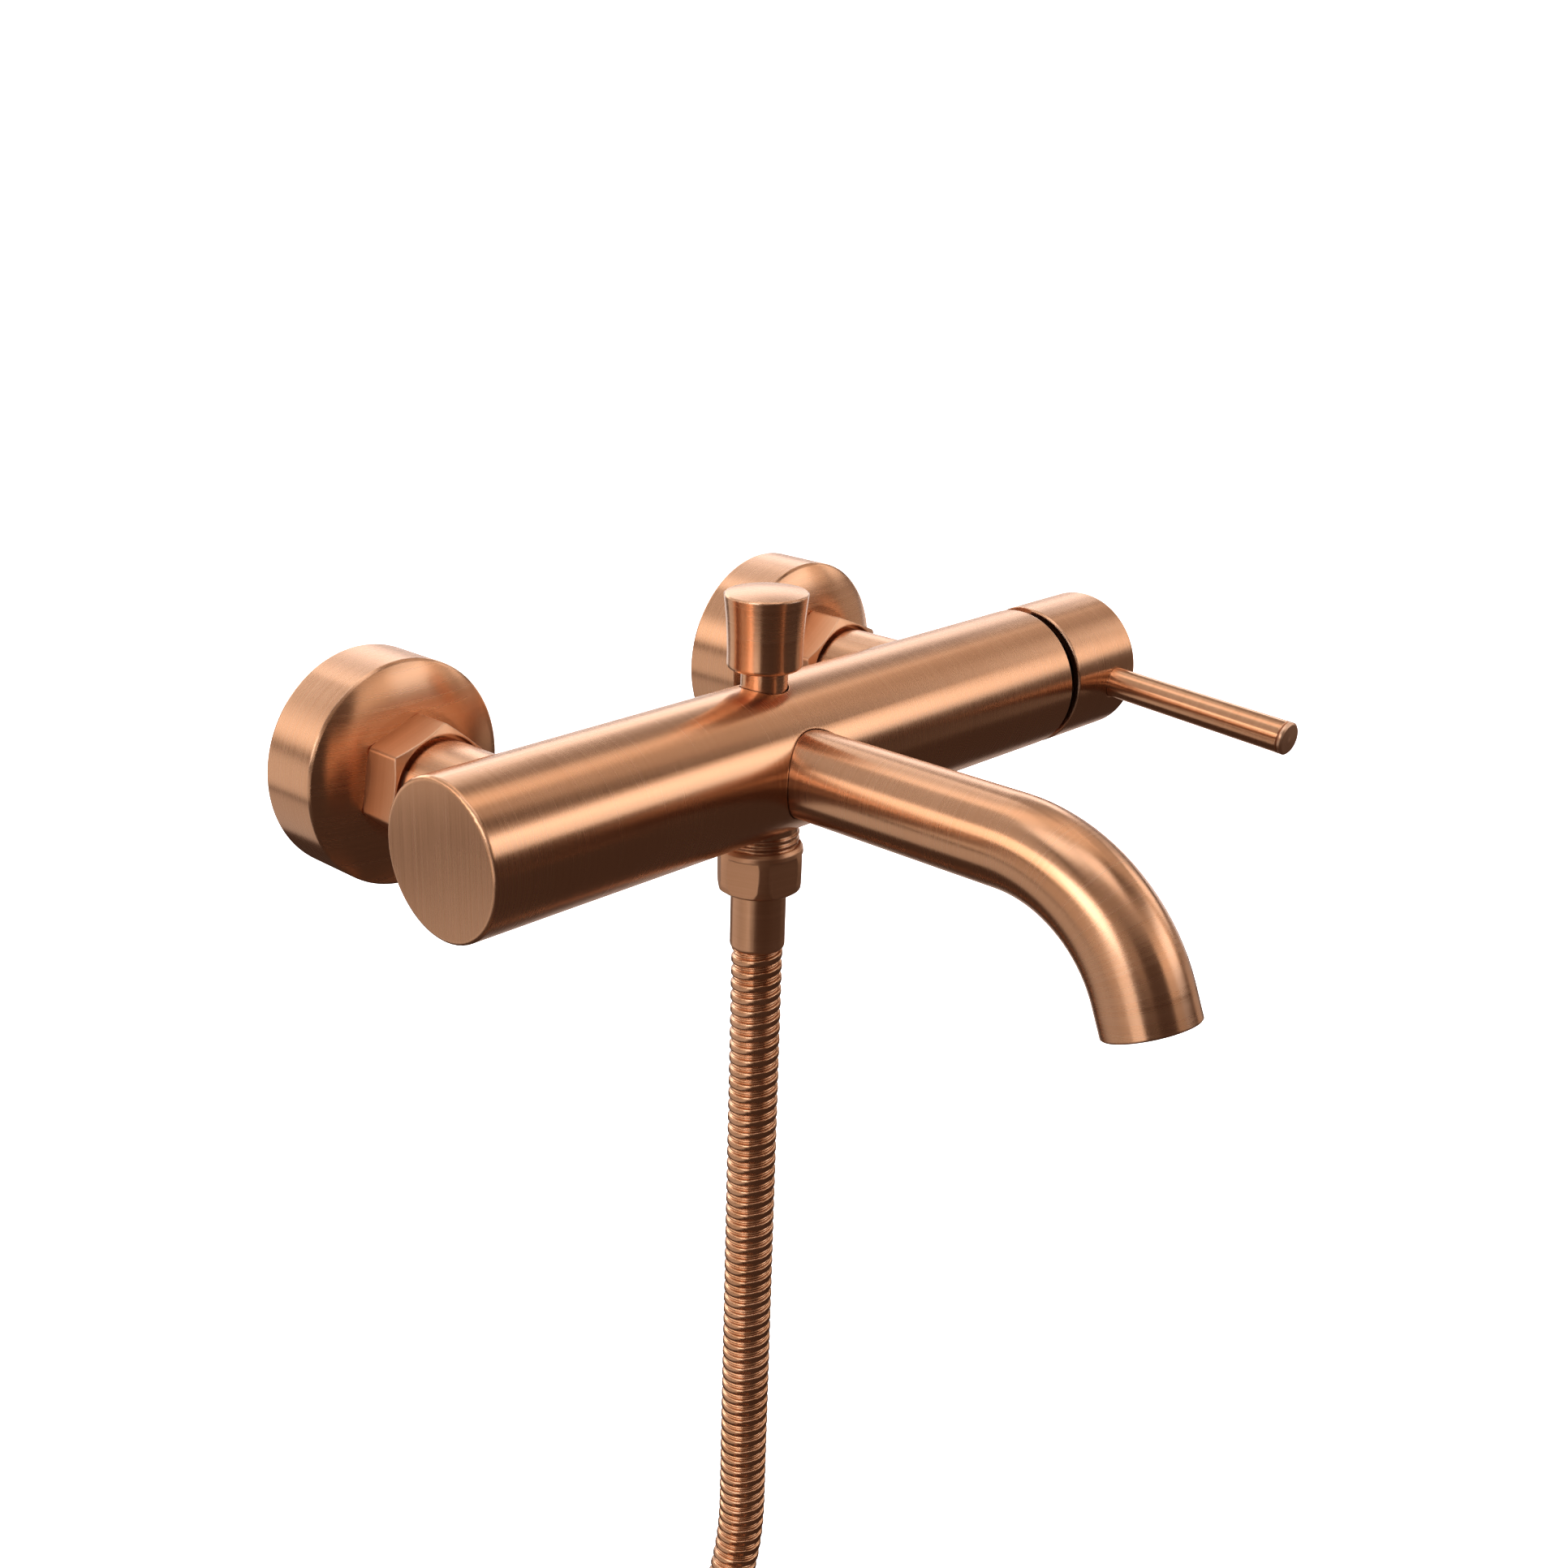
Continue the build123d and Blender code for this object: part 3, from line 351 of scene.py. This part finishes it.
def rib_rows(path):
    """Rows of places round the hose, one row for each point of each rib's profile.

    A row climbs one rib on its way round, which winds the ribs in a helix. What lies past an end of the hose
    is drawn in to that end.
    """
    ribs = range(-1, math.ceil(path.length / RIB_PITCH) + 1)
    shares = np.array([rib + share for rib in ribs for share, _ in RIB_PROFILE])
    depths = np.array([depth for _ in ribs for _, depth in RIB_PROFILE]) * MM
    around = np.arange(RIB_SIDES) / RIB_SIDES
    distances = (shares[:, None] + around[None, :]) * RIB_PITCH
    radius = hose_diameter / 2 - np.repeat(depths[:, None], RIB_SIDES, axis=1)
    radius[(distances <= 0) | (distances >= path.length)] = hose_diameter / 2 - GROOVE_DEPTH
    places, sides, others = path.at(np.clip(distances, 0, path.length))
    angle = 2 * math.pi * around[None, :, None]
    return places + radius[..., None] * (np.cos(angle) * sides + np.sin(angle) * others)


def rib_faces(rows):
    """Faces between neighbouring rows. The end of a row meets the start of the same row one rib on."""
    per_rib = len(RIB_PROFILE)
    last = RIB_SIDES - 1
    faces = []
    for row in range(rows - 1):
        here, above = row * RIB_SIDES, (row + 1) * RIB_SIDES
        for side in range(last):
            faces.append((here + side, here + side + 1, above + side + 1, above + side))
        if row + per_rib + 1 < rows:
            next_rib = (row + per_rib) * RIB_SIDES
            faces.append((here + last, next_rib, next_rib + RIB_SIDES, above + last))
    return faces


def closed_mesh(name, places, faces):
    """Mesh with coinciding vertices merged and open ends filled. The filled ends are flat shaded."""
    mesh = bpy.data.meshes.new(name)
    mesh.from_pydata(places.reshape(-1, 3).tolist(), [], faces)
    shape = bmesh.new()
    shape.from_mesh(mesh)
    bmesh.ops.remove_doubles(shape, verts=shape.verts, dist=SAME_PLACE)
    loose = [vertex for vertex in shape.verts if not vertex.link_faces]
    bmesh.ops.delete(shape, geom=loose, context="VERTS")
    open_edges = [edge for edge in shape.edges if edge.is_boundary]
    bmesh.ops.holes_fill(shape, edges=open_edges, sides=0)
    bmesh.ops.recalc_face_normals(shape, faces=shape.faces)
    for face in shape.faces:
        face.smooth = len(face.verts) <= 4
    shape.to_mesh(mesh)
    shape.free()
    return mesh


def ribbed_hose():
    """Wound metal shower hose from the ferrule to the far nut, all in one piece."""
    path = Path(nurbs_line("hose_line", hose_points()))
    places = rib_rows(path)
    hose = bpy.data.objects.new("wound_hose", closed_mesh("wound_hose", places, rib_faces(len(places))))
    bpy.context.scene.collection.objects.link(hose)
    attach(hose, "fixed_body")
    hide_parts("shower_hose", "hose_coil", "hose_tail")
    return hose


# ---------------------------------------------------------------- material helpers
# sockets of the Mix node for each kind of value: first input, second input, output
MIX_SOCKETS = {"FLOAT": (2, 3, 0), "VECTOR": (4, 5, 1), "RGBA": (6, 7, 2)}


class Nodes:
    """Small helper that adds nodes to one material and links them."""

    def __init__(self, name):
        self.material = bpy.data.materials.new(name)
        self.material.use_nodes = True
        self.tree = self.material.node_tree
        self.shader = self.tree.nodes["Principled BSDF"]

    def add(self, kind, **inputs):
        node = self.tree.nodes.new("ShaderNode" + kind)
        for key, value in inputs.items():
            self.put(node.inputs[key.replace("_", " ")], value)
        return node

    def put(self, socket, value):
        if isinstance(value, bpy.types.NodeSocket):
            self.tree.links.new(value, socket)
        else:
            socket.default_value = value

    def math(self, operation, a, b=0.0):
        node = self.tree.nodes.new("ShaderNodeMath")
        node.operation = operation
        self.put(node.inputs[0], a)
        self.put(node.inputs[1], b)
        return node.outputs[0]

    def vector(self, operation, a, b):
        node = self.tree.nodes.new("ShaderNodeVectorMath")
        node.operation = operation
        self.put(node.inputs[0], a)
        self.put(node.inputs[1], b)
        return node.outputs["Value" if operation == "DOT_PRODUCT" else "Vector"]

    def scaled(self, vector, factor):
        node = self.tree.nodes.new("ShaderNodeVectorMath")
        node.operation = "SCALE"
        self.put(node.inputs[0], vector)
        self.put(node.inputs["Scale"], factor)
        return node.outputs["Vector"]

    def turned(self, vector, kind, source, target):
        node = self.add("VectorTransform", Vector=vector)
        node.vector_type = kind
        node.convert_from = source
        node.convert_to = target
        return node.outputs["Vector"]

    def mix(self, kind, share, a, b):
        first, second, result = MIX_SOCKETS[kind]
        node = self.tree.nodes.new("ShaderNodeMix")
        node.data_type = kind
        self.put(node.inputs[0], share)
        self.put(node.inputs[first], a)
        self.put(node.inputs[second], b)
        return node.outputs[result]

    def ranged(self, value, low, high, out_low=0.0, out_high=1.0):
        node = self.tree.nodes.new("ShaderNodeMapRange")
        self.put(node.inputs["Value"], value)
        for key, number in (("From Min", low), ("From Max", high), ("To Min", out_low), ("To Max", out_high)):
            node.inputs[key].default_value = number
        return node.outputs["Result"]

    def noise(self, place, scale, detail=2.0, roughness=0.5):
        node = self.add("TexNoise", Vector=place, Scale=scale, Detail=detail, Roughness=roughness)
        return node.outputs["Fac"]

    def blended(self, a, share_a, b, share_b):
        return self.math("ADD", self.math("MULTIPLY", a, share_a), self.math("MULTIPLY", b, share_b))

    def bump(self, height, strength, distance, **normal):
        node = self.add("Bump", Height=height, Strength=strength, Distance=distance, **normal)
        self.put(self.shader.inputs["Normal"], node.outputs["Normal"])


COPPER_DEEP = (0.72, 0.425, 0.255, 1)
COPPER_PALE = (0.85, 0.545, 0.365, 1)
# paler copper painted on edges and on the lever's button as a painted highlight
COPPER_PAINTED_HIGHLIGHT = (0.96, 0.70, 0.53, 1)
# brushing: noise cells in a metre across the lines and along them
LINES_PER_METRE = 1400.0
ALONG_LINES = 12.0
# how many of the broad lines there are for each fine one
BROAD_SHARE = 0.22
# cosines between a surface's normal and the piece's axis, where an end face's lines begin and take over
END_FACE_FROM, END_FACE_FULL = 0.80, 0.86
# painted edge highlight: radius an edge is rounded over, in metres, and the cosines between the rounded normal and
# the true one where the painted highlight starts and is full
EDGE_RADIUS = 0.0006
EDGE_SAMPLES = 4
EDGE_HIGHLIGHT_FROM, EDGE_HIGHLIGHT_FULL = 0.995, 0.88
TURNING_LINES_PER_METRE = 2600.0


def brushed_copper(name, axis, face_axis, roughness=0.265, anisotropy=0.72, path=None, colours=None):
    """Brushed copper coating: lines run round the axis on the sides, and across face_axis on the flat ends.

    path(kit, place) may give the distance and direction along a bent piece in place of the axis.
    """
    deep, pale = colours or (COPPER_DEEP, COPPER_PALE)
    kit = Nodes(name)
    place = kit.add("TexCoord").outputs["Object"]
    geometry = kit.add("NewGeometry")
    normal = kit.turned(geometry.outputs["Normal"], "NORMAL", "WORLD", "OBJECT")

    if path:
        distance, direction = path(kit, place)
    else:
        distance, direction = kit.vector("DOT_PRODUCT", place, tuple(axis)), tuple(axis)
    facing = kit.math("ABSOLUTE", kit.vector("DOT_PRODUCT", normal, direction))
    on_face = kit.ranged(facing, END_FACE_FROM, END_FACE_FULL)
    face_distance = kit.vector("DOT_PRODUCT", place, tuple(face_axis))
    lines = kit.math("MULTIPLY", kit.mix("FLOAT", on_face, distance, face_distance), LINES_PER_METRE)
    slow = kit.scaled(place, ALONG_LINES)
    offset = kit.add("CombineXYZ", X=lines, Y=0.0, Z=0.0).outputs["Vector"]
    streaks = kit.noise(kit.vector("ADD", slow, offset), 1.0)
    broad = kit.noise(kit.vector("ADD", slow, kit.scaled(offset, BROAD_SHARE)), 1.0)
    clouds = kit.noise(place, 26.0, 3.0, 0.55)

    tone = kit.blended(streaks, 0.55, clouds, 0.45)
    colour = kit.mix("RGBA", kit.ranged(tone, 0.14, 0.86), deep, pale)
    bevel = kit.add("Bevel", Radius=EDGE_RADIUS)
    bevel.samples = EDGE_SAMPLES
    edge = kit.vector("DOT_PRODUCT", bevel.outputs["Normal"], geometry.outputs["Normal"])
    # edges are painted paler in random patches where the rounded normal turns away: a painted highlight, not wear
    patches = kit.ranged(clouds, 0.35, 0.6, 0.45, 1.0)
    edge_highlight = kit.math("MULTIPLY", kit.ranged(edge, EDGE_HIGHLIGHT_FROM, EDGE_HIGHLIGHT_FULL), patches)
    kit.put(kit.shader.inputs["Base Color"], kit.mix("RGBA", edge_highlight, colour, COPPER_PAINTED_HIGHLIGHT))
    kit.shader.inputs["Metallic"].default_value = 1.0
    rough = kit.ranged(streaks, 0.25, 0.75, roughness - 0.02, roughness + 0.02)
    rough = kit.math("ADD", rough, kit.ranged(clouds, 0.3, 0.7, -0.015, 0.015))
    rough = kit.math("SUBTRACT", rough, kit.math("MULTIPLY", edge_highlight, 0.05))
    kit.put(kit.shader.inputs["Roughness"], rough)
    kit.shader.inputs["Anisotropic"].default_value = anisotropy

    height = kit.blended(streaks, 0.7, broad, 0.5)
    kit.bump(height, 0.018, 0.00002, Normal=bevel.outputs["Normal"])
    tangent = kit.mix("VECTOR", on_face, direction, tuple(face_axis))
    kit.put(kit.shader.inputs["Tangent"], kit.turned(tangent, "VECTOR", "OBJECT", "WORLD"))
    return kit.material


# the spout's tube, in metres; the straight runs from the body's axis to where the bend begins
SPOUT_RADIUS = 0.01173
SPOUT_BEND_RADIUS = 0.04205
SPOUT_STRAIGHT = 0.0806


def spout_path(kit, place):
    """Distance and direction along the spout: straight out, then round its bend."""
    tube_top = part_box("spout_tube")[1].z
    centre = (0, body_axis_y - SPOUT_STRAIGHT, tube_top - SPOUT_RADIUS - SPOUT_BEND_RADIUS)
    parts = kit.add("SeparateXYZ", Vector=kit.vector("SUBTRACT", place, centre))
    forward = kit.math("MULTIPLY", parts.outputs["Y"], -1.0)
    forward = kit.math("MAXIMUM", forward, 0.0)
    angle = kit.math("ARCTAN2", forward, parts.outputs["Z"])
    behind = kit.math("MAXIMUM", parts.outputs["Y"], 0.0)
    distance = kit.math("SUBTRACT", kit.math("MULTIPLY", angle, SPOUT_BEND_RADIUS), behind)
    direction = kit.add(
        "CombineXYZ",
        X=0.0,
        Y=kit.math("MULTIPLY", kit.math("COSINE", angle), -1.0),
        Z=kit.math("MULTIPLY", kit.math("SINE", angle), -1.0),
    )
    return distance, direction.outputs["Vector"]


def plain_metal(name, deep, pale, roughness, axis=Y_AXIS):
    """Machined metal with turning marks round an axis and a cloudy tone."""
    kit = Nodes(name)
    place = kit.add("TexCoord").outputs["Object"]
    clouds = kit.noise(place, 90.0, 4.0, 0.6)
    distance = kit.math("MULTIPLY", kit.vector("DOT_PRODUCT", place, tuple(axis)), TURNING_LINES_PER_METRE)
    marks = kit.noise(kit.add("CombineXYZ", X=distance, Y=0.0, Z=0.0).outputs["Vector"], 1.0)
    tone = kit.blended(clouds, 0.6, marks, 0.4)
    kit.put(kit.shader.inputs["Base Color"], kit.mix("RGBA", kit.ranged(tone, 0.35, 0.65), deep, pale))
    kit.shader.inputs["Metallic"].default_value = 1.0
    kit.put(kit.shader.inputs["Roughness"], kit.ranged(tone, 0.3, 0.7, roughness - 0.06, roughness + 0.08))
    kit.bump(marks, 0.15, 0.00005)
    return kit.material


def soft_material(name, dark, light, roughness, grain, depth, specular=0.5):
    """Rubber, plastic or ceramic with a fine grain and faint cloudy variation."""
    kit = Nodes(name)
    place = kit.add("TexCoord").outputs["Object"]
    fine = kit.noise(place, grain, 3.0, 0.6)
    clouds = kit.noise(place, 60.0)
    kit.put(kit.shader.inputs["Base Color"], kit.mix("RGBA", kit.ranged(clouds, 0.35, 0.65), dark, light))
    kit.put(kit.shader.inputs["Roughness"], kit.ranged(fine, 0.3, 0.7, roughness - 0.06, roughness + 0.06))
    kit.shader.inputs["Specular IOR Level"].default_value = specular
    kit.bump(fine, 0.2, depth)
    return kit.material


def hose_copper():
    """Copper coloured wound strip with faint clouds and specks, and no brushing lines."""
    kit = Nodes("hose_copper")
    place = kit.add("TexCoord").outputs["Object"]
    clouds = kit.noise(place, 70.0, 3.0, 0.6)
    specks = kit.noise(place, 300.0)
    tone = kit.blended(clouds, 0.8, specks, 0.2)
    colour = kit.mix("RGBA", kit.ranged(tone, 0.30, 0.70), COPPER_DEEP, COPPER_PALE)
    kit.put(kit.shader.inputs["Base Color"], colour)
    kit.shader.inputs["Metallic"].default_value = 1.0
    kit.put(kit.shader.inputs["Roughness"], kit.ranged(tone, 0.3, 0.7, 0.20, 0.27))
    kit.bump(specks, 0.02, 0.00002)
    return kit.material


# ---------------------------------------------------------------- who wears what
def dress(material, *nodes):
    """Gives CAD nodes one material, on their own meshes' slots."""
    for node in nodes:
        mesh = frame["nodes"][node].data
        mesh.materials.clear()
        mesh.materials.append(material)


def uncoated_materials():
    """Materials, by slot, of everything that isn't coated in copper, and the sleeve in the gap, painted dark brown
    as shade.
    """
    brass = plain_metal("raw_brass", (0.55, 0.38, 0.15, 1), (0.80, 0.62, 0.33, 1), 0.34)
    steel = plain_metal("stainless_steel", (0.45, 0.44, 0.43, 1), (0.70, 0.70, 0.71, 1), 0.28, Z_AXIS)
    dark, black = (0.012, 0.012, 0.012, 1), (0.03, 0.03, 0.03, 1)
    rubber = soft_material("black_rubber", dark, black, 0.65, 1500.0, 0.00005)
    cream, white = (0.70, 0.70, 0.67, 1), (0.80, 0.80, 0.78, 1)
    acetal = soft_material("white_acetal", cream, white, 0.42, 1200.0, 0.00003)
    slate, grey = (0.10, 0.10, 0.11, 1), (0.15, 0.15, 0.16, 1)
    polyamide = soft_material("grey_polyamide", slate, grey, 0.48, 1200.0, 0.00004)
    bone, chalk = (0.80, 0.78, 0.75, 1), (0.88, 0.87, 0.85, 1)
    ceramic = soft_material("ceramic", bone, chalk, 0.16, 2500.0, 0.00001, 0.7)
    # the sleeve in the gap is copper painted near-black brown: painted shade for the gap's shadow
    trim = plain_metal("painted_shade_sleeve", (0.10, 0.048, 0.028, 1), (0.16, 0.08, 0.05, 1), 0.40, X_AXIS)
    return {
        "raw_brass": brass,
        "steel": steel,
        "black_rubber": rubber,
        "white_plastic": acetal,
        "grey_plastic": polyamide,
        "ceramic": ceramic,
        "dark_trim": trim,
    }


def dress_all():
    """Dresses every CAD node by its slot, then the copper pieces whose lines or gloss differ, and the lever's
    button in paler copper as a painted highlight.
    """
    about_x = brushed_copper("brushed_round_x", X_AXIS, Y_AXIS)
    about_y = brushed_copper("brushed_round_y", Y_AXIS, Z_AXIS)
    about_z = brushed_copper("brushed_round_z", Z_AXIS, X_AXIS)
    lever = brushed_copper("brushed_lever", lever_direction, X_AXIS, roughness=0.23)
    spout = brushed_copper("brushed_spout", Y_AXIS, X_AXIS, path=spout_path)
    by_slot = {**uncoated_materials(), "brushed_copper": about_x, "hose_copper": about_z}
    for part in frame["record"]["subparts"]:
        dress(by_slot[part["material_slot"]], part["node"])
    satin_y = brushed_copper("satin_round_y", Y_AXIS, Z_AXIS, roughness=0.36, anisotropy=0.40)
    satin_z = brushed_copper("satin_round_z", Z_AXIS, X_AXIS, roughness=0.42, anisotropy=0.40)
    ferrule = brushed_copper("satin_ferrule", Z_AXIS, X_AXIS, roughness=0.32, anisotropy=0.50)
    # the lever's button gets paler copper: a painted highlight on its end disc
    pale = (COPPER_PALE, COPPER_PAINTED_HIGHLIGHT)
    button = brushed_copper("satin_button_painted_highlight", lever_direction, X_AXIS, roughness=0.42, colours=pale)
    dress(about_y, "cover_plate_left", "cover_plate_right", "far_ferrule", "far_nut")
    dress(satin_y, "union_nut_left", "union_nut_right")
    dress(about_z, "diverter_knob", "shower_nipple")
    dress(satin_z, "hose_nut")
    dress(ferrule, "hose_ferrule")
    dress(lever, "lever_rod")
    dress(button, "lever_tip")
    dress(spout, "spout_tube", "aerator_housing")


make_camera()
hose = ribbed_hose()
make_lights()
make_world()
make_floor()
dress_all()
hose.data.materials.append(hose_copper())

scene = bpy.context.scene
scene.view_settings.view_transform = "Standard"
scene.view_settings.look = "None"
scene.view_settings.gamma = 0.78
scene.view_settings.exposure = 0.20
